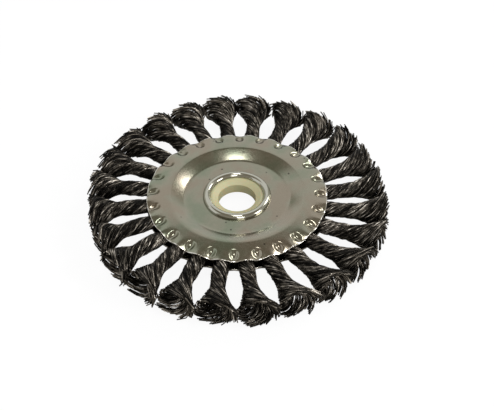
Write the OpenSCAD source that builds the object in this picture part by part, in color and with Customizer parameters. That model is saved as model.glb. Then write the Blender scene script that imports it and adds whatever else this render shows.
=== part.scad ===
// Twist-knot wire wheel, 127 mm, for a grinder.
// Tufts of steel wire are looped through a drilled holding disc and twisted hard.
// Two dished plates cover the loops, their rims crimped down between the tufts.
// A rolled eyelet holds the stack together, and a nylon bush reduces its bore.
// The origin is on the arbor axis, midway through the wheel, with the axis along +Z.

/* [Wheel] */
// Diameter over the wire tips
wheel_d = 127; // [118:1:150]
// Number of knots round the wheel
knot_count = 24; // [20:1:26]
// Width of the brushing face, over the flared wire ends
face_w = 15.2; // [12:0.2:18]

/* [Knots] */
// Diameter of a knot where its wires are twisted tight
twist_d = 6.9; // [6.2:0.1:7.4]
// Height to which the plates' rims pinch a knot
pinch_h = 6.1; // [5:0.1:6.2]
// Length in which a knot's wires go once round
lay_l = 24; // [18:1:40]
// Depth of the groove between a knot's two twisted legs
groove = 0.5; // [0:0.1:1]
// Depth of the furrows between the strands that a knot's wires gather in
furrow = 0.25; // [0:0.05:0.4]
// Length of the flared end of a knot
flare_l = 13.5; // [12:0.5:18]
// Depth of the hollow in the flared end
cup_depth = 8; // [4:0.5:10]
// Thickness of the wires round the hollow
cup_wall = 1.3; // [0.8:0.1:2]
// How far a knot's shortest wire tips stay behind its longest
ragged = 2; // [0:0.1:2.2]
// How far the most worn knot stays behind the longest
worn = 1.4; // [0:0.1:2]
// How far the flared ends are swept back round the wheel
sweep_back = 2.4; // [0:0.1:3]
// Height of a leg where it lies on the holding disc
leg_t = 2.5; // [2.2:0.1:3.2]
// Distance from the holding disc to where the two legs join
crotch = 2.6; // [2:0.1:3.5]

/* [Holding disc] */
// Diameter of the holding disc
disc_d = 64.8; // [62:0.2:68]
// Thickness of the holding disc
disc_t = 2.4; // [1.6:0.1:3]
// Diameter of each hole that a knot is looped through
hole_d = 5; // [4.4:0.1:5.6]
// Width of the rim left outside the holes
disc_rim = 1.9; // [1.5:0.1:3]

/* [Plates] */
// Diameter of the face plates
plate_d = 76.4; // [74:0.2:80]
// Thickness of the plates' sheet
plate_t = 0.8; // [0.5:0.1:1.2]
// Distance from the holes' inner edges to the edge of the flat middle
flat_edge = 3.9; // [2.4:0.1:5]
// Radius of the bend where the flat middle ends
bend_r = 2.5; // [1:0.1:4]
// Radius of the bulge over the loops
bulge_r = 10; // [7:0.5:14]
// Radius of the ball that each crimp is pressed with
crimp_r = 5; // [4:0.1:6]
// Depth of a crimp at the rim
crimp_depth = 1.3; // [0.6:0.1:1.5]
// Distance of the crimping ball's centre outside the rim
crimp_out = 0.6; // [0:0.1:1]

/* [Eyelet] */
// Bore of the eyelet
eyelet_d = 22.2; // [20:0.1:25.4]
// Thickness of the eyelet's tube
eyelet_t = 1; // [0.6:0.1:1.4]
// Height of the eyelet's rolled lips above the plates
lip_h = 1.7; // [1.5:0.1:2.4]
// Width of the flat that the clamping flange wears on each lip
land_w = 0.6; // [0.4:0.1:1]

/* [Reducer bush] */
// Bore of the bush, for the arbor
bore_d = 16; // [12:0.1:18]
// Height of the bush
bush_h = 5.75; // [5:0.05:6.5]
// Depth of the bush's upper face below the eyelet's lip
bush_set = 1.6; // [1:0.1:2]
// Width of the flat rim round the bush's funnel mouth
bush_rim = 0.85; // [0.5:0.05:1.2]
// Depth of the funnel mouth
funnel_depth = 1.35; // [0.8:0.05:2]
// Chamfer on the bush's lower edges
bush_edge = 0.2; // [0.1:0.1:0.6]

/* [Fits] */
// Clearance of the bush in the eyelet, and of the eyelet in the plates and disc
fit_gap = 0.05; // [0.02:0.01:0.1]
// Clearance between the wires and the sheet metal
wire_gap = 0.12; // [0.05:0.01:0.2]
// Clearance between neighbouring flared ends where they are widest
tuft_gap = 0.9; // [0.5:0.1:2]

/* [Hidden] */
$fn = 96;

function knot_name(i) = str("knot_", i < 10 ? "0" : "", i);

wheel_r = wheel_d / 2;
pitch_angle = 360 / knot_count;
cut_over = 1;

// Holding disc: the holes stand just inside its rim.
disc_r = disc_d / 2;
hole_r = hole_d / 2;
hole_pitch_r = disc_r - disc_rim - hole_r;
stack_r = eyelet_d / 2 + eyelet_t + fit_gap;

// Plates: heights of the sheet's two faces above the wheel's middle plane.
flat_in = disc_t / 2;
flat_out = flat_in + plate_t;
crest_in = disc_t / 2 + leg_t + 4 * wire_gap;
rim_in = pinch_h / 2 + wire_gap;
plate_r = plate_d / 2;

// The flat ends in an inside bend, a straight rise, the bulge and a cone to the rim.
// The bulge is highest over the holes' outer edges, where the loops bend.
bend_c = [hole_pitch_r - hole_r - flat_edge, flat_out + bend_r];
bulge_c = [hole_pitch_r + hole_r, crest_in + plate_t - bulge_r];

// Slope of a line that passes two circles, one above it and one below it.
function slope_between(above, below, r_sum) =
    let (dx = below.x - above.x, dz = above.y - below.y)
    atan2(dx, dz) - acos(r_sum / norm([dx, dz]));

// Slope of the line from a circle's upper right down to a point.
function slope_down(c, r, p) = atan2(p.x - c.x, p.y - c.y) - acos(r / norm(p - c));

rise = slope_between(bend_c, bulge_c, bend_r + bulge_r);
fall = slope_down(bulge_c, bulge_r - plate_t, [plate_r, rim_in]);

// One face of the sheet, at a depth under its outer face, out to a radius past the rim.
bend_steps = 8;
bulge_steps = 12;
function sheet_line(depth, reach) =
    let (
        r1 = bend_r + depth,
        r2 = bulge_r - depth,
        fall_start = bulge_c + r2 * [sin(fall), cos(fall)]
    )
    concat(
        [[stack_r, flat_out - depth]],
        [for (k = [0:bend_steps]) bend_c + r1 * [sin(rise * k / bend_steps), -cos(rise * k / bend_steps)]],
        [
            for (k = [0:bulge_steps])
            let (a = -rise + (rise + fall) * k / bulge_steps)
            bulge_c + r2 * [sin(a), cos(a)]
        ],
        [[reach, fall_start.y - (reach - fall_start.x) * tan(fall)]]
    );

// The crimping balls stand over the rim, midway between the knots.
outer_line = sheet_line(0, plate_r);
rim_out = outer_line[len(outer_line) - 1].y;
crimp_c = [plate_r + crimp_out, rim_out - crimp_depth + crimp_r];

// Eyelet: the tube's centre line rolls over into a half ring on each plate.
eyelet_r = eyelet_d / 2;
roll_c = [eyelet_r + lip_h, flat_out];
lip_top = flat_out + sqrt(pow(lip_h, 2) - pow(land_w / 2, 2));

// Bush: it is pushed in from the top face.
bush_r = eyelet_r - fit_gap;
bush_top = flat_out + lip_h - bush_set;
bush_bottom = bush_top - bush_h;

// Knot: a section is a ring of points round the knot's own axis, which points outwards along +X.
// The first ring's two halves are the ends of the two legs.
knot_sides = 12;
half_sides = knot_sides / 2;
trunk_steps = 6;
flare_steps = 6;
cup_steps = 4;
trunk_x = disc_r + crotch;
flare_x = wheel_r - flare_l;
twist_r = twist_d / 2;

// The flare swells on a sine, like a trumpet, and is widest just behind the tips.
flare_turn = 100;
flare_power = 1.8;
widest_x = flare_x + flare_l * 90 / flare_turn;
flare_half = [widest_x * tan(pitch_angle / 2) - tuft_gap / 2, face_w / 2];
function swell(t) = pow(sin(flare_turn * t), flare_power);
function flare_at(t) = [for (half = flare_half) twist_r + (half - twist_r) * swell(t)];

// The plates' rims pinch the trunk flatter and a little wider, and it recovers a short way outside them.
pinch_over = 1;
pinch_run = 5;
pinch_spread = 0.4;
function pinch(x) = max(0, min(1, 1 - (x - plate_r - pinch_over) / pinch_run));
function trunk_at(x) =
    let (squeeze = (twist_r - pinch_h / 2) * pinch(x))
    [twist_r + pinch_spread * squeeze, twist_r - squeeze];

// The knots stand straight out of the plates, then bend back.
function bend_back(x) = sweep_back * pow(max(0, x - plate_r) / (wheel_r - plate_r), 2);

// A ring of the knot: its place, its two half widths, its groove, its furrows and its turn with the lay.
// Every second point is a strand's crest, and the points between them lie in the furrows.
// The lay is left-handed, as on the real wheel.
function turn_at(x) = -360 * (x - trunk_x) / lay_l;
function ring(x, half, depth, dip, shorter) = [
    for (j = [0:knot_sides - 1])
    let (
        a = j * 360 / knot_sides,
        place = x - ragged * shorter[j],
        r = 1 - (depth * pow(cos(a), 4) + dip * (j % 2)) / twist_r
    )
    [place, bend_back(x) + r * half.x * cos(a + turn_at(x)), r * half.y * sin(a + turn_at(x))]
];
even = [for (j = [0:knot_sides - 1]) 0];

function trunk_rings() = [
    for (k = [0:trunk_steps])
    let (x = trunk_x + (flare_x - trunk_x) * k / trunk_steps)
    ring(x, trunk_at(x), groove, furrow, even)
];
function flare_rings(tip_x, tips) = [
    for (k = [1:flare_steps])
    let (t = k / flare_steps)
    ring(flare_x + (tip_x - flare_x) * t, flare_at(t), groove * (1 - t), furrow, k == flare_steps ? tips : even)
];

// The hollow narrows from the mouth to a rounded floor.
cup_power = 0.8;
function cup_rings(tip_x) = [
    for (k = [0:cup_steps - 1])
    let (s = k / cup_steps, half = flare_at(1) - [cup_wall, cup_wall])
    ring(tip_x - ragged - cup_depth * s, half * pow(cos(90 * s), cup_power), 0, 0, even)
];

// A strand's crest ends in a spike, and the furrows beside it are cut back by chance.
spike_share = 0.4;
function tips_of(chances) = [
    for (j = [0:knot_sides - 1])
    j % 2 == 0 ? spike_share * chances[j] : 1 - spike_share * chances[j]
];

// The wheel has run a little off centre, so its knots are worn most on the side away from +X.
chance_share = 0.3;
function worn_at(angle, chance) = worn * ((1 - chance_share) * (1 - cos(angle)) / 2 + chance_share * chance);

// A ring of a leg: its centre, the way its back faces, its half width and half height,
// and how far it is closed, from 0 for a half round to 1 for a full round.
leg_sides = half_sides + 1;
function leg_ring(centre, back, half_w, half_h, closed) = [
    for (s = [0:leg_sides - 1])
    let (
        open_angle = 180 * s / half_sides,
        full_angle = 90 + (s - half_sides / 2) * 360 / leg_sides,
        a = open_angle + (full_angle - open_angle) * closed
    )
    [
        centre.x + half_h * sin(a) * cos(back),
        half_w * cos(a),
        centre.y + half_h * sin(a) * sin(back)
    ]
];

// The loop lies on the disc, bends round the hole's outer edge and fills the hole.
// Its flat facets need more room than round wires would.
facet_gap = 1.6 * wire_gap;
leg_spread = 0.86;
leg_closed = 0.9;
bend_spread = 0.95;
bend_half = 1.5;
bend_slope = 45;
loop_r = hole_r - facet_gap;
over_rim = [disc_r + wire_gap, disc_t / 2 + wire_gap + leg_t / 2];
hole_edge = [hole_pitch_r + hole_r, disc_t / 2];
bend_at = hole_edge + (bend_half + facet_gap) * [-sin(bend_slope), cos(bend_slope)];
loop_half = [
    leg_ring(over_rim, 90, leg_spread * twist_r, leg_t / 2, leg_closed),
    leg_ring(bend_at, 90 + bend_slope, bend_spread * loop_r, bend_half, 1),
    leg_ring([hole_pitch_r, 0], 180, loop_r, loop_r, 1)
];
function flipped(points) = [for (p = points) [p.x, p.y, -p.z]];
loop_rings = concat(loop_half, [flipped(loop_half[1]), flipped(loop_half[0])]);

// Faces of a tube between two rings, listed by the numbers of their points.
function band(a, b) = [
    for (j = [0:len(a) - 1])
    let (n = (j + 1) % len(a))
    each [[a[j], b[n], a[n]], [a[j], b[j], b[n]]]
];
function bands(rings) = [for (k = [0:len(rings) - 2]) each band(rings[k], rings[k + 1])];
function numbers(count, sides, first) = [
    for (k = [0:count - 1]) [for (j = [0:sides - 1]) first + k * sides + j]
];
function backwards(faces) = [for (f = faces) [f[0], f[2], f[1]]];

module holding_disc() {
    color("#8d8f8a")
    difference() {
        cylinder(h = disc_t, r = disc_r, center = true);
        cylinder(h = disc_t + 2 * cut_over, r = stack_r, center = true);
        for (i = [1:knot_count])
            rotate([0, 0, (i - 1) * pitch_angle])
            translate([hole_pitch_r, 0, 0])
            cylinder(h = disc_t + 2 * cut_over, r = hole_r, center = true);
    }
}

module crimp_balls(r) {
    for (i = [1:knot_count])
        rotate([0, 0, (i - 0.5) * pitch_angle])
        translate([crimp_c.x, 0, crimp_c.y])
        sphere(r = r);
}

// Everything under one face of the sheet, down to a floor below the sheet.
module under_sheet(depth, reach, floor_z) {
    difference() {
        rotate_extrude()
        polygon(concat([[stack_r - depth, floor_z]], [[stack_r - depth, flat_out - depth]],
            sheet_line(depth, reach), [[reach, floor_z]]));
        crimp_balls(crimp_r + depth);
    }
}

module face_plate() {
    color("#a7aa9e")
    difference() {
        under_sheet(0, plate_r, 0);
        under_sheet(plate_t, plate_r + cut_over, -cut_over);
    }
}

module face_plate_top() {
    face_plate();
}

module face_plate_bottom() {
    mirror([0, 0, 1]) face_plate();
}

module rolled_lip() {
    intersection() {
        translate(roll_c)
        difference() {
            circle(r = lip_h);
            circle(r = lip_h - eyelet_t);
        }
        translate([eyelet_r - cut_over, roll_c.y])
        square([2 * (lip_h + cut_over), lip_top - roll_c.y]);
    }
}

module eyelet() {
    color("#c4c4b6")
    rotate_extrude() {
        translate([eyelet_r, -flat_out])
        square([eyelet_t, 2 * flat_out]);
        rolled_lip();
        mirror([0, 1]) rolled_lip();
    }
}

module reducer_bush() {
    bore_r = bore_d / 2;
    color("#ded8ae")
    rotate_extrude()
    polygon([
        [bore_r + bush_edge, bush_bottom],
        [bush_r - bush_edge, bush_bottom],
        [bush_r, bush_bottom + bush_edge],
        [bush_r, bush_top],
        [bush_r - bush_rim, bush_top],
        [bore_r, bush_top - funnel_depth],
        [bore_r, bush_bottom + bush_edge]
    ]);
}

// One knot: both legs, the loop through its hole, the twist and the flared, hollow end.
module knot(i) {
    angle = (i - 1) * pitch_angle;
    chances = rands(0, 1, knot_sides + 1, i);
    tip_x = wheel_r - worn_at(angle, chances[knot_sides]);
    cup_floor_x = tip_x - ragged - cup_depth;
    rings = concat(trunk_rings(), flare_rings(tip_x, tips_of(chances)), cup_rings(tip_x));
    body = numbers(len(rings), knot_sides, 0);
    cup_floor = len(rings) * knot_sides;
    loop = numbers(len(loop_rings), leg_sides, cup_floor + 1);
    upper_end = [for (s = [0:half_sides]) body[0][s]];
    lower_end = [for (s = [0:half_sides]) body[0][(knot_sides - s) % knot_sides]];
    last = body[len(body) - 1];
    color("#3b3430")
    rotate([0, 0, angle])
    polyhedron(
        points = concat(
            [for (points = rings) each points],
            [[cup_floor_x, bend_back(cup_floor_x), 0]],
            [for (points = loop_rings) each points]
        ),
        faces = concat(
            bands(body),
            [for (j = [0:knot_sides - 1]) [last[j], cup_floor, last[(j + 1) % knot_sides]]],
            backwards(bands(concat([upper_end], loop, [lower_end])))
        ),
        convexity = 8
    );
}

holding_disc();
face_plate_top();
face_plate_bottom();
eyelet();
reducer_bush();
for (i = [1:knot_count])
    knot(i);
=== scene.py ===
import math
import random

import bpy
from mathutils import Matrix, Vector


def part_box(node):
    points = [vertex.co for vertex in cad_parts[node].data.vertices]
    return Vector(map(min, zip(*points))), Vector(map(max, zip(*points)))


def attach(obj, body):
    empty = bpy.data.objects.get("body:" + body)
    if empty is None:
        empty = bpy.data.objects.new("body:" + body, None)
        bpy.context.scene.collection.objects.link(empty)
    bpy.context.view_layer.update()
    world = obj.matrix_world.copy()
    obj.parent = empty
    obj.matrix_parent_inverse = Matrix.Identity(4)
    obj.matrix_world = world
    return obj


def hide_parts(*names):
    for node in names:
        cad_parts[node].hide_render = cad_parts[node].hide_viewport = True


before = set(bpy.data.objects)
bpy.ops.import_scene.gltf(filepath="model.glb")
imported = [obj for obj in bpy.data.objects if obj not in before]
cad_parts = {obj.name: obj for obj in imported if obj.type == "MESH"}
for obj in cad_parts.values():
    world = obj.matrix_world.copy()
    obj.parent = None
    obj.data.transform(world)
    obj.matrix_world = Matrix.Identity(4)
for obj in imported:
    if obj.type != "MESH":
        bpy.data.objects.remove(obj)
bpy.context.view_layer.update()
mm = 0.001


# Holding disc: a flat ring of pressed steel with a round hole for each knot, hidden between the plates.
# Its holes are punched, and it is left plain and lightly oiled. The scene keeps the CAD solid.
class Signal:
    """One output of a node. Python's own signs on it add Math nodes, and add() makes any other node."""

    def __init__(self, tree, socket=None):
        self.tree, self.socket = tree, socket

    def add(self, kind, settings=None, inputs=None, output=0):
        node = self.tree.nodes.new(kind)
        for name, value in (settings or {}).items():
            if name == "stops":
                ramp = node.color_ramp.elements
                while len(ramp) < len(value):
                    ramp.new(1)
                for stop, (place, colour) in zip(ramp, value):
                    stop.position, stop.color = place, (*colour, 1)
            else:
                setattr(node, name, value)
        for name, value in (inputs or {}).items():
            for one in value if isinstance(value, list) else [value]:
                if isinstance(one, Signal):
                    self.tree.links.new(one.socket, node.inputs[name])
                else:
                    node.inputs[name].default_value = one
        return Signal(self.tree, node.outputs[output] if node.outputs else None)

    def other(self, name):
        return Signal(self.tree, self.socket.node.outputs[name])

    def maths(self, operation, *values):
        return self.add("ShaderNodeMath", {"operation": operation}, dict(enumerate(values)))

    def __add__(self, value): return self.maths("ADD", self, value)
    def __radd__(self, value): return self.maths("ADD", value, self)
    def __sub__(self, value): return self.maths("SUBTRACT", self, value)
    def __rsub__(self, value): return self.maths("SUBTRACT", value, self)
    def __mul__(self, value): return self.maths("MULTIPLY", self, value)
    def __rmul__(self, value): return self.maths("MULTIPLY", value, self)
    def __truediv__(self, value): return self.maths("DIVIDE", self, value)
    def __rtruediv__(self, value): return self.maths("DIVIDE", value, self)
    def __pow__(self, value): return self.maths("POWER", self, value)

    def sin(self): return self.maths("SINE", self)
    def cos(self): return self.maths("COSINE", self)
    def floor(self): return self.maths("FLOOR", self)
    def fraction(self): return self.maths("FRACT", self)
    def unsigned(self): return self.maths("ABSOLUTE", self)
    def clamped(self): return self.add("ShaderNodeClamp", None, {"Value": self})
    def least(self, value): return self.maths("MAXIMUM", self, value)
    def most(self, value): return self.maths("MINIMUM", self, value)

    def mixed(self, start, end):
        """Two colours, mixed by this signal."""
        return self.add("ShaderNodeMix", {"data_type": "RGBA"}, {0: self, 6: start, 7: end}, 2)

    def ramped(self, *stops):
        return self.add("ShaderNodeValToRGB", {"stops": stops}, {"Fac": self})


def new_finish(name):
    """An empty material and the first signal in its tree."""
    finish = bpy.data.materials.new(name)
    finish.use_nodes = True
    finish.node_tree.nodes.clear()
    return finish, Signal(finish.node_tree)


def surface(start, inputs):
    """Ends a material in one Principled surface."""
    shader = start.add("ShaderNodeBsdfPrincipled", None, inputs)
    start.add("ShaderNodeOutputMaterial", None, {"Surface": shader})


def wear(node, finish):
    """Gives a CAD solid its finish."""
    node.data.materials.clear()
    node.data.materials.append(finish)


oiled_steel, start = new_finish("oiled steel")
here = start.add("ShaderNodeTexCoord", None, None, "Object")
blotches = start.add("ShaderNodeTexNoise", None, {"Vector": here, "Scale": 220, "Detail": 4})
surface(start, {
    "Base Color": blotches.mixed((0.10, 0.09, 0.08, 1), (0.26, 0.25, 0.23, 1)),
    "Roughness": 0.3 + 0.2 * blotches,
    "Metallic": 1,
})
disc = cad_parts["holding_disc"]
wear(disc, oiled_steel)
disc_low, disc_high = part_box("holding_disc")


# Knots: tufts of oil-tempered steel wire, each looped through its hole in the disc, twisted left-handed
# by a machine and cut off at the wheel's rim, where the ends spring open into a hollow, ragged flare.
knot_names = sorted(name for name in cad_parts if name.startswith("knot_"))
wire_r = 0.25 * mm
twist_r = 3.45 * mm
lay = 24 * mm
trunk_start = 34.2 * mm
twist_start = 35 * mm
flare_start = 50 * mm
flare_turn = math.radians(92)
flare_power = 1.45
frayed_length = 3.6 * mm
pinched = 0.4 * mm
strands = 6
spikes_each = 3
hole_middle = 28 * mm
plate_low, plate_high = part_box("face_plate_top")
plate_r = plate_high.x
disc_face = disc_high.z
disc_r = disc_high.x
face_half = max(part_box(name)[1].z for name in knot_names)
wheel_r = 63.5 * mm


def turn_of(name):
    """The angle at which a knot stands round the wheel."""
    return math.radians(360 / len(knot_names) * knot_names.index(name))


def tip_of(name):
    """How far out along its own axis a knot's longest wires end."""
    turn = turn_of(name)
    return max(v.co.x * math.cos(turn) + v.co.y * math.sin(turn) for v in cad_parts[name].data.vertices)


def knot_tree():
    """A tree that lays the wires of one knot along +X and turns it to its place round the wheel."""
    tree = bpy.data.node_groups.new("knot of wires", "GeometryNodeTree")
    tree.interface.new_socket("Geometry", in_out="OUTPUT", socket_type="NodeSocketGeometry")
    for name, kind in (
        ("Outer Wires", "NodeSocketInt"), ("Inner Wires", "NodeSocketInt"), ("Flare Wires", "NodeSocketInt"),
        ("Loose Wires", "NodeSocketInt"), ("Core Wires", "NodeSocketInt"), ("Leg Wires", "NodeSocketInt"),
        ("Wire Radius", "NodeSocketFloat"), ("Twist Radius", "NodeSocketFloat"), ("Lay", "NodeSocketFloat"),
        ("Tip", "NodeSocketFloat"), ("Flare Half Width", "NodeSocketFloat"), ("Flare Half Height", "NodeSocketFloat"),
        ("Sweep Back", "NodeSocketFloat"), ("Ragged", "NodeSocketFloat"), ("Place", "NodeSocketFloat"),
        ("Seed", "NodeSocketInt"), ("Finish", "NodeSocketMaterial"),
    ):
        tree.interface.new_socket(name, in_out="INPUT", socket_type=kind)
    start = Signal(tree)
    given = start.add("NodeGroupInput")
    size = {s.name: given.other(s.name) for s in tree.interface.items_tree if s.in_out == "INPUT"}
    profile = {}
    for sides in (4, 5):
        profile[sides] = start.add("GeometryNodeCurvePrimitiveCircle", {"mode": "RADIUS"},
                                   {"Resolution": sides, "Radius": size["Wire Radius"]})

    def run_of_wires(count, steps, sides, path, tone_of):
        """Straight lines in number, bent along a path and given their thickness."""
        line = start.add("GeometryNodeCurvePrimitiveLine")
        line = start.add("GeometryNodeResampleCurve", None, {"Curve": line, "Count": steps + 1})
        points = start.add("GeometryNodePoints", None, {"Count": count})
        laid = start.add("GeometryNodeInstanceOnPoints", None, {"Points": points, "Instance": line})
        laid = start.add("GeometryNodeRealizeInstances", None, {"Geometry": laid})
        along = start.add("GeometryNodeSplineParameter")
        number = start.add("GeometryNodeCurveOfPoint", None, None, "Curve Index")
        x, y, z = path(along, number)
        for attribute, value in (("wire_tone", tone_of(number)), ("wire_place", x)):
            laid = start.add("GeometryNodeStoreNamedAttribute", {"data_type": "FLOAT", "domain": "POINT"},
                             {"Geometry": laid, "Name": attribute, "Value": value})
        placed = start.add("ShaderNodeCombineXYZ", None, {"X": x, "Y": y, "Z": z})
        laid = start.add("GeometryNodeSetPosition", None, {"Geometry": laid, "Position": placed})
        return start.add("GeometryNodeCurveToMesh", None,
                         {"Curve": laid, "Profile Curve": profile[sides], "Fill Caps": True})

    def drawn(number, low, high, draw):
        """A random number for each wire; draw tells one draw from another."""
        return start.add("FunctionNodeRandomValue", {"data_type": "FLOAT"},
                         {2: low, 3: high, "ID": number, "Seed": size["Seed"] * 50 + draw}, 1)

    whole_turn = 2 * math.pi
    clumps = strands * spikes_each

    def laid_in_knot(from_x, count, depth_of, open_of, draw):
        """The path of each wire of one layer of the knot."""

        def path(along, number):
            a = (number + drawn(number, -0.35, 0.35, draw)) * whole_turn / count
            clump_number = (a * clumps / whole_turn).floor() + 0.5
            clump = clump_number * whole_turn / clumps
            aside = (clump - a) * clumps / math.pi
            short = drawn(clump_number, 0, 0.6, 1) + drawn(number, 0, 0.35, draw + 1) + 0.4 * aside * aside
            tip = size["Tip"] - size["Ragged"] * short
            x = from_x + (tip - from_x) * along
            last = ((x - tip + frayed_length) / frayed_length).clamped()
            open_share = ((x - flare_start) / (size["Tip"] - flare_start)).clamped()
            swell = (open_share * flare_turn).sin() ** flare_power * open_of(number)
            squeeze = (1 - (x - plate_r - 1 * mm) / (5 * mm)).clamped() * pinched
            half_w = size["Twist Radius"] + squeeze * 0.4 + (size["Flare Half Width"] - size["Twist Radius"]) * swell
            half_h = size["Twist Radius"] - squeeze + (size["Flare Half Height"] - size["Twist Radius"]) * swell
            wander = (x * (whole_turn / (7 * mm)) + drawn(number, 0, whole_turn, draw + 3)).sin()
            stray = (x * (whole_turn / (11 * mm)) + drawn(number, 0, whole_turn, draw + 4)).sin()
            a = a + (clump - a) * 0.6 * last * last + drawn(number, -0.09, 0.09, draw + 5) * last + stray * 0.06
            groove = 1 - (a.cos() ** 4 * 0.08 + (1 - (a * strands).cos()) * 0.02) * (1 - open_share)
            fray = (drawn(clump_number, -0.6, 0.1, 2) + drawn(number, -0.25, 0.15, draw + 6)) * last * last
            depth = depth_of(number) + (fray - wander * 0.07) * mm
            turn = a - (x - twist_start) * whole_turn / size["Lay"] + open_share * open_share * 0.7 - last * last * 0.5
            y = (half_w * groove - depth) * turn.cos() * (1 + 0.22 * last * last)
            z = (half_h * groove - depth) * turn.sin()
            back = ((x - plate_r) / (wheel_r - plate_r)).clamped()
            return x, y + size["Sweep Back"] * back * back, z

        return path

    def laid_round_disc(count):
        """The path of the wires that go over the disc's rim, through the hole and back."""

        def path(along, number):
            out_from_middle = ((number + 0.5) / count) ** 0.5
            across = out_from_middle * (number * 2.4).cos()
            thick = out_from_middle * (number * 2.4).sin()
            bend = (along - 0.5) * math.pi
            sharp = bend.sin() / (bend.sin().unsigned() + 0.001) ** 0.5
            in_hole = bend.cos()
            half_w = 2.8 * mm - in_hole * 0.8 * mm
            half_t = 1.0 * mm + in_hole * 1.0 * mm
            x = trunk_start - (trunk_start - hole_middle) * (in_hole.least(0) ** 0.6) - in_hole * thick * half_t
            z = sharp * 2.5 * mm + bend.sin() * thick * half_t
            return x, across * half_w, z

        return path

    def laid_in_core(count):
        """The path of the wires in the middle of the knot, whose cut ends show at the bottom of the hollow."""

        def path(along, number):
            x = 42 * mm + (drawn(number, 10.5, 15, 8) * mm) * along
            from_middle = ((number + 0.5) / count) ** 0.5 * 2 * mm * (1 + 0.5 * along * along)
            turn = number * 2.4 - (x - twist_start) * whole_turn / size["Lay"]
            back = (x - plate_r) / (wheel_r - plate_r)
            return x, from_middle * turn.cos() + size["Sweep Back"] * back * back, from_middle * turn.sin()

        return path

    layers = [
        run_of_wires(
            size["Outer Wires"], 26, 5,
            laid_in_knot(trunk_start, size["Outer Wires"], lambda n: size["Wire Radius"] + drawn(n, 0, 0.15, 6) * mm,
                         lambda n: drawn(n, 0.97, 1.01, 5), 10),
            lambda n: drawn(n, 0, 1, 7)),
        run_of_wires(
            size["Inner Wires"], 22, 5,
            laid_in_knot(trunk_start, size["Inner Wires"], lambda n: 0.62 * mm + drawn(n, 0, 0.2, 6) * mm,
                         lambda n: drawn(n, 0.94, 1, 5), 20),
            lambda n: drawn(n, 0, 1, 7)),
        run_of_wires(
            size["Flare Wires"], 16, 5,
            laid_in_knot(flare_start - 4 * mm, size["Flare Wires"], lambda n: 0.95 * mm + drawn(n, 0, 0.35, 6) * mm,
                         lambda n: drawn(n, 0.88, 1, 5), 30),
            lambda n: drawn(n, 0, 1, 7)),
        run_of_wires(
            size["Loose Wires"], 18, 4,
            laid_in_knot(flare_start - 4 * mm, size["Loose Wires"], lambda n: 0.5 * mm + drawn(n, 0, 0.5, 6) * mm,
                         lambda n: drawn(n, 0.45, 1.06, 5), 40),
            lambda n: drawn(n, 0.3, 1, 7)),
        run_of_wires(size["Core Wires"], 8, 5, laid_in_core(size["Core Wires"]), lambda n: drawn(n, 0, 1, 7)),
        run_of_wires(size["Leg Wires"], 16, 4, laid_round_disc(size["Leg Wires"]), lambda n: drawn(n, 0, 1, 7)),
    ]
    knot = start.add("GeometryNodeJoinGeometry", None, {"Geometry": layers})
    knot = start.add("GeometryNodeSetShadeSmooth", None, {"Geometry": knot})
    turned = start.add("ShaderNodeCombineXYZ", None, {"Z": size["Place"]})
    knot = start.add("GeometryNodeTransform", None, {"Geometry": knot, "Rotation": turned})
    knot = start.add("GeometryNodeRealizeInstances", None, {"Geometry": knot})
    knot = start.add("GeometryNodeSetMaterial", None, {"Geometry": knot, "Material": size["Finish"]})
    start.add("NodeGroupOutput", None, {"Geometry": knot})
    return tree


tempered_wire, start = new_finish("tempered wire")
tone = start.add("ShaderNodeAttribute", {"attribute_name": "wire_tone"}, None, "Fac")
here = start.add("ShaderNodeTexCoord", None, None, "Object")
patches = start.add("ShaderNodeTexNoise", None, {"Vector": here, "Scale": 160, "Detail": 2})
# The sum of per-wire tone, patches and a noise running along each wire is ramped so that its bright tail paints glints
# and highlights on short stretches of wire; the dark and middle stops are the wire's own colour.
along = start.add("ShaderNodeAttribute", {"attribute_name": "wire_place"}, None, "Fac")
glint_place = start.add("ShaderNodeCombineXYZ", None, {"X": along / (2.2 * mm), "Y": tone * 70})
painted_glints = start.add("ShaderNodeTexNoise", None, {"Vector": glint_place, "Scale": 1, "Detail": 2})
surface(start, {
    "Base Color": (tone * 0.2 + patches * 0.2 + painted_glints * 0.6).ramped(
        (0.4, (0.004, 0.0035, 0.003)), (0.5, (0.026, 0.023, 0.019)), (0.6, (0.2, 0.178, 0.15)),
        (0.68, (0.68, 0.63, 0.56))),
    "Roughness": 0.22 + 0.14 * patches,
    "Metallic": 0.8,
    "Specular IOR Level": 0.25,
})

wires = knot_tree()
sockets = {s.name: s.identifier for s in wires.interface.items_tree if s.in_out == "INPUT"}
for number, name in enumerate(knot_names):
    chance = random.Random(number)
    blank = bpy.data.objects.new("blank", bpy.data.meshes.new("blank"))
    bpy.context.scene.collection.objects.link(blank)
    maker = blank.modifiers.new("wires", "NODES")
    maker.node_group = wires
    for socket, value in {
        "Outer Wires": 34, "Inner Wires": 28, "Flare Wires": 76, "Loose Wires": 7, "Core Wires": 14, "Leg Wires": 12,
        "Wire Radius": wire_r, "Twist Radius": twist_r * chance.uniform(0.97, 1.02), "Lay": lay * chance.uniform(0.95, 1.06),
        "Tip": tip_of(name) + 0.9 * mm, "Flare Half Width": 7.5 * mm * chance.uniform(0.97, 1.03),
        "Flare Half Height": face_half - 0.3 * mm, "Sweep Back": chance.uniform(2, 2.8) * mm, "Ragged": 3.1 * mm,
        "Place": turn_of(name), "Seed": number, "Finish": tempered_wire,
    }.items():
        maker[sockets[socket]] = value
    shape = bpy.data.meshes.new_from_object(blank.evaluated_get(bpy.context.evaluated_depsgraph_get()))
    bpy.data.objects.remove(blank)
    knot = bpy.data.objects.new(name.replace("knot", "wires"), shape)
    bpy.context.scene.collection.objects.link(knot)
    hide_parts(name)
    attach(knot, "root")


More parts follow.
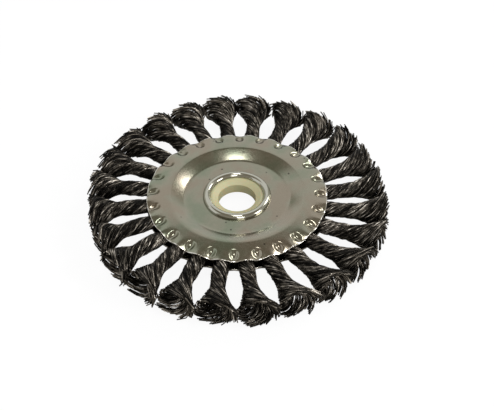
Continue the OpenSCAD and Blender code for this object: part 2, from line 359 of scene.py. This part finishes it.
# Face plates: two dished pressings of thin steel sheet, plated with zinc, one over each side of the disc.
# A punch crimps their rims down between the knots and leaves a short trough with a bright edge in each gap.
sheet_t = 0.8 * mm
flat_height = disc_face + sheet_t
flat_r = 21.5 * mm
bend_r = 3 * mm
bulge_r = 8 * mm
crest_r = 29 * mm
crest_height = plate_high.z - 0.45 * mm
rise = math.radians(25)
slackening = 0.011 / mm
fall = math.radians(5.5)
brim_height = 3 * mm
bore_r = 12.15 * mm
arch_start = 31.5 * mm
arch_height = 1.1 * mm
crimp_r = 34.7 * mm
crimp_depth = 0.85 * mm
crimp_length = 4 * mm
crimp_width = 3.8 * mm
rim_wear_and_highlight_width = 0.4 * mm


def plate_tree():
    """A tree that presses a plate's outer face from a flat grid of faces: along it to the rim, across it round the axis."""
    tree = bpy.data.node_groups.new("dished plate", "GeometryNodeTree")
    tree.interface.new_socket("Geometry", in_out="OUTPUT", socket_type="NodeSocketGeometry")
    for name, kind in (
        ("Bore Radius", "NodeSocketFloat"), ("Rim Radius", "NodeSocketFloat"), ("Crimps", "NodeSocketInt"),
        ("Crimp Depth", "NodeSocketFloat"), ("Crimp Length", "NodeSocketFloat"), ("Crimp Width", "NodeSocketFloat"),
        ("Finish", "NodeSocketMaterial"),
    ):
        tree.interface.new_socket(name, in_out="INPUT", socket_type=kind)
    start = Signal(tree)
    given = start.add("NodeGroupInput")
    size = {s.name: given.other(s.name) for s in tree.interface.items_tree if s.in_out == "INPUT"}
    grid = start.add("GeometryNodeMeshGrid", None, {"Size X": 1, "Size Y": 1, "Vertices X": 57, "Vertices Y": 481})
    spot = start.add("GeometryNodeInputPosition")
    spot = start.add("ShaderNodeSeparateXYZ", None, {"Vector": spot})
    r = size["Bore Radius"] + (size["Rim Radius"] - size["Bore Radius"]) * (spot + 0.5).least(0) ** 0.7
    around = spot.other("Y") + 0.5
    bent = (r - flat_r).least(0).most(bend_r * math.sin(rise))
    straight = (r - flat_r - bend_r * math.sin(rise)).least(0)
    low_side = flat_height + bend_r - (bend_r ** 2 - bent * bent) ** 0.5 + straight * (math.tan(rise) - slackening * straight)
    domed = (r - crest_r).least(-bulge_r * math.sin(rise)).most(bulge_r * math.sin(fall))
    before = (crest_r - bulge_r * math.sin(rise) - r).least(0)
    beyond = (r - crest_r - bulge_r * math.sin(fall)).least(0)
    high_side = (bulge_r ** 2 - domed * domed) ** 0.5 + crest_height - bulge_r + before
    height = low_side.most((high_side - beyond * math.tan(fall)).least(brim_height))
    gap_place = (around * size["Crimps"]).fraction() - 0.5
    from_middle = gap_place.unsigned() * 2 * math.pi / size["Crimps"] * r
    inward = (crimp_r - r).least(0) / (size["Crimp Length"] / 2)
    outward = (r - crimp_r).least(0) / (size["Crimp Length"] * 0.75)
    aside = from_middle / (size["Crimp Width"] / 2)
    pocket = (1 - inward * inward - outward * outward - aside * aside).clamped()
    arch = ((r - arch_start) / (size["Rim Radius"] - arch_start)).clamped()
    dip = (1 + (gap_place * (2 * math.pi)).cos()) / 2
    height = height - pocket * size["Crimp Depth"] - arch * arch * dip * arch_height
    turn = around * (2 * math.pi)
    placed = start.add("ShaderNodeCombineXYZ", None, {0: r * turn.cos(), 1: r * turn.sin(), 2: height})
    plate = start.add("GeometryNodeSetPosition", None, {"Geometry": grid.other("Mesh"), "Position": placed})
    plate = start.add("GeometryNodeMergeByDistance", None, {"Geometry": plate, "Distance": 0.001 * mm})
    plate = start.add("GeometryNodeSetShadeSmooth", None, {"Geometry": plate})
    plate = start.add("GeometryNodeRealizeInstances", None, {"Geometry": plate})
    plate = start.add("GeometryNodeSetMaterial", None, {"Geometry": plate, "Material": size["Finish"]})
    start.add("NodeGroupOutput", None, {"Geometry": plate})
    return tree


bright_zinc, start = new_finish("bright zinc")
here = start.add("ShaderNodeTexCoord", None, None, "Object")
clouds = start.add("ShaderNodeTexNoise", None, {"Vector": here, "Scale": 80, "Detail": 6})
grain = start.add("ShaderNodeTexNoise", None, {"Vector": here, "Scale": 900, "Detail": 3})
zinc = clouds.ramped((0.38, (0.23, 0.25, 0.185)), (0.5, (0.28, 0.27, 0.21)), (0.62, (0.285, 0.25, 0.195)))
specks = start.add("ShaderNodeTexVoronoi", None, {"Vector": here, "Scale": 180})
zinc = (((0.09 - specks) * 40).clamped() * 0.8).mixed(zinc, (0.05, 0.042, 0.035, 1))
flat_place = start.add("ShaderNodeVectorMath", {"operation": "MULTIPLY"}, {0: here, 1: (1, 1, 0)})
from_axis = start.add("ShaderNodeVectorMath", {"operation": "LENGTH"}, {0: flat_place}, "Value")
# A narrow band at the rim's edge is painted nearly white: partly zinc rubbed off the edge, partly a painted highlight
# for the lit edge line.
at_rim = ((from_axis - (plate_r - rim_wear_and_highlight_width)) / (0.1 * mm)).clamped()
surface(start, {
    "Base Color": at_rim.mixed(zinc, (0.75, 0.73, 0.68, 1)),
    "Roughness": 0.14 + 0.14 * grain,
    "Metallic": 1,
})


def plate_mesh():
    """The tree's face, given the sheet's thickness."""
    tree = plate_tree()
    blank = bpy.data.objects.new("blank", bpy.data.meshes.new("blank"))
    bpy.context.scene.collection.objects.link(blank)
    maker = blank.modifiers.new("pressing", "NODES")
    maker.node_group = tree
    sockets = {s.name: s.identifier for s in tree.interface.items_tree if s.in_out == "INPUT"}
    for socket, value in {
        "Bore Radius": bore_r, "Rim Radius": plate_r, "Crimps": len(knot_names), "Crimp Depth": crimp_depth,
        "Crimp Length": crimp_length, "Crimp Width": crimp_width, "Finish": bright_zinc,
    }.items():
        maker[sockets[socket]] = value
    sheet = blank.modifiers.new("sheet", "SOLIDIFY")
    sheet.thickness = sheet_t
    sheet.offset = -1
    sheet.use_even_offset = True
    edge = blank.modifiers.new("edge", "BEVEL")
    edge.width = 0.2 * mm
    edge.segments = 2
    edge.angle_limit = math.radians(60)
    edge.harden_normals = True
    shape = bpy.data.meshes.new_from_object(blank.evaluated_get(bpy.context.evaluated_depsgraph_get()))
    bpy.data.objects.remove(blank)
    return shape


upper_shape = plate_mesh()
lower_shape = upper_shape.copy()
lower_shape.transform(Matrix.Scale(-1, 4, (0, 0, 1)))
lower_shape.flip_normals()
for name, shape in (("face_plate_top", upper_shape), ("face_plate_bottom", lower_shape)):
    plate = bpy.data.objects.new(name.replace("face_plate", "dished_plate"), shape)
    bpy.context.scene.collection.objects.link(plate)
    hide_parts(name)
    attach(plate, "root")


# Eyelet: a short steel tube through the middle, its ends rolled over both plates to hold the stack.
# The rolling polishes its zinc, so the lips are the brightest metal on the wheel.
rolled_zinc, start = new_finish("rolled zinc")
surface(start, {"Base Color": (0.45, 0.445, 0.38, 1), "Roughness": 0.12, "Metallic": 1})
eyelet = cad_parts["eyelet"]
wear(eyelet, rolled_zinc)


# Reducer bush: a moulded ring of natural nylon, pushed into the eyelet to fit a smaller arbor.
# It is cream coloured and slightly waxy, with a funnel at its upper mouth.
nylon, start = new_finish("natural nylon")
surface(start, {"Base Color": (0.46, 0.43, 0.25, 1), "Roughness": 0.45, "Subsurface Weight": 0.2,
                "Subsurface Scale": 0.002})
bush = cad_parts["reducer_bush"]
wear(bush, nylon)


# Studio: a plain white floor that the wheel lies on, under soft light from large lamps.
floor_size = 3
floor = bpy.data.objects.new("floor", bpy.data.meshes.new("floor"))
corners = [(x * floor_size, y * floor_size, -face_half - 0.1 * mm) for x, y in ((-1, -1), (1, -1), (1, 1), (-1, 1))]
floor.data.from_pydata(corners, [], [(0, 1, 2, 3)])
bpy.context.scene.collection.objects.link(floor)
white_floor, start = new_finish("white floor")
seen = start.add("ShaderNodeLightPath").other("Is Camera Ray")
lit = start.add("ShaderNodeBsdfDiffuse", None, {"Color": seen.mixed((0.42, 0.40, 0.36, 1), (1, 1, 1, 1))})
white = start.add("ShaderNodeEmission", None, {"Color": (1, 1, 1, 1)})
seen_share = seen * 0.92
start.add("ShaderNodeOutputMaterial", None, {"Surface": start.add("ShaderNodeMixShader", None, {0: seen_share, 1: lit, 2: white})})
floor.data.materials.append(white_floor)

world = bpy.data.worlds.new("studio")
bpy.context.scene.world = world
world.use_nodes = True
world.node_tree.nodes.clear()
start = Signal(world.node_tree)
ray = start.add("ShaderNodeLightPath")
seen = ray.other("Is Camera Ray").least(ray.other("Is Glossy Ray")).least(ray.other("Is Transmission Ray"))
sky = start.add("ShaderNodeBackground", None, {"Color": seen.mixed((0.62, 0.62, 0.62, 1), (1, 1, 1, 1))})
start.add("ShaderNodeOutputWorld", None, {"Surface": sky})


def soft_lamp(name, azimuth, height, distance, side, power):
    """A square lamp at a compass angle and height angle, aimed at the wheel."""
    lamp = bpy.data.objects.new(name, bpy.data.lights.new(name, "AREA"))
    lamp.data.size, lamp.data.energy = side, power
    a, e = math.radians(azimuth), math.radians(height)
    away = Vector((math.cos(a) * math.cos(e), math.sin(a) * math.cos(e), math.sin(e)))
    lamp.location = away * distance
    lamp.rotation_euler = away.to_track_quat("Z", "Y").to_euler()
    bpy.context.scene.collection.objects.link(lamp)


soft_lamp("top lamp", 270, 88, 0.9, 0.18, 1.2)
soft_lamp("side lamp", 36, 41, 1.0, 0.24, 1.9)
soft_lamp("front lamp", -25, 30, 1.0, 0.3, 3.5)
soft_lamp("near lamp", -84, 36, 1.0, 0.3, 2.2)


def dark_card(name, points, faces, colour):
    """A brown card that glows for reflections only: a painted reflection of dark surroundings, so that bright metal
    has something dark to mirror.
    """
    card = bpy.data.objects.new(name, bpy.data.meshes.new(name))
    card.data.from_pydata(points, [], faces)
    card_glow_finish, start = new_finish(name)
    glow = start.add("ShaderNodeEmission", None, {"Color": (*colour, 1)})
    start.add("ShaderNodeOutputMaterial", None, {"Surface": glow})
    card.data.materials.append(card_glow_finish)
    card.visible_camera = card.visible_diffuse = card.visible_shadow = card.visible_transmission = False
    bpy.context.scene.collection.objects.link(card)


def arc_of_points(radius, height, first, last, count):
    """Points on a level arc, between two compass angles."""
    turns = [math.radians(first + (last - first) * k / (count - 1)) for k in range(count)]
    return [(radius * math.cos(turn), radius * math.sin(turn), height) for turn in turns]


dark_card("ceiling", arc_of_points(0.85, 1.1, 0, 350, 36), [list(range(36))], (0.30, 0.27, 0.22))
dark_card("front wall", arc_of_points(1.3, -0.02, 200, 340, 15) + arc_of_points(1.3, 1.7, 200, 340, 15),
          [(k, k + 1, 16 + k, 15 + k) for k in range(14)], (0.38, 0.35, 0.3))
for name, first, last, top in (("right wall", -20, 58, 1.5), ("left wall", 108, 168, 0.75)):
    dark_card(name, arc_of_points(1.3, -0.02, first, last, 7) + arc_of_points(1.3, top, first, last, 7),
              [(k, k + 1, 8 + k, 7 + k) for k in range(6)], (0.48, 0.47, 0.41))

# Camera: it stands where the photograph was taken from, about 0.38 m away and 45 degrees up.
camera_distance = 380 * mm
camera_height = math.radians(44.7)
camera_side = math.radians(-5.9)
camera_roll = math.radians(0.26)
image_width = 494
focal_pixels = 893
slide_right, slide_up = -4.24 * mm, 2.69 * mm
right = Vector((math.cos(camera_side), math.sin(camera_side), 0))
ahead = Vector((-math.sin(camera_side), math.cos(camera_side), 0))
back = -ahead * math.cos(camera_height) + Vector((0, 0, math.sin(camera_height)))
up = back.cross(right)
rolled_right = right * math.cos(camera_roll) - up * math.sin(camera_roll)
rolled_up = right * math.sin(camera_roll) + up * math.cos(camera_roll)
camera = bpy.data.objects.new("camera", bpy.data.cameras.new("camera"))
camera.data.sensor_width = 36
camera.data.lens = camera.data.sensor_width * focal_pixels / image_width
camera.data.clip_start = 0.01
place = back * camera_distance - rolled_right * slide_right - rolled_up * slide_up
camera.matrix_world = Matrix.Translation(place) @ Matrix((rolled_right, rolled_up, back)).transposed().to_4x4()
bpy.context.scene.collection.objects.link(camera)
bpy.context.scene.camera = camera
bpy.context.scene.view_settings.view_transform = "Standard"
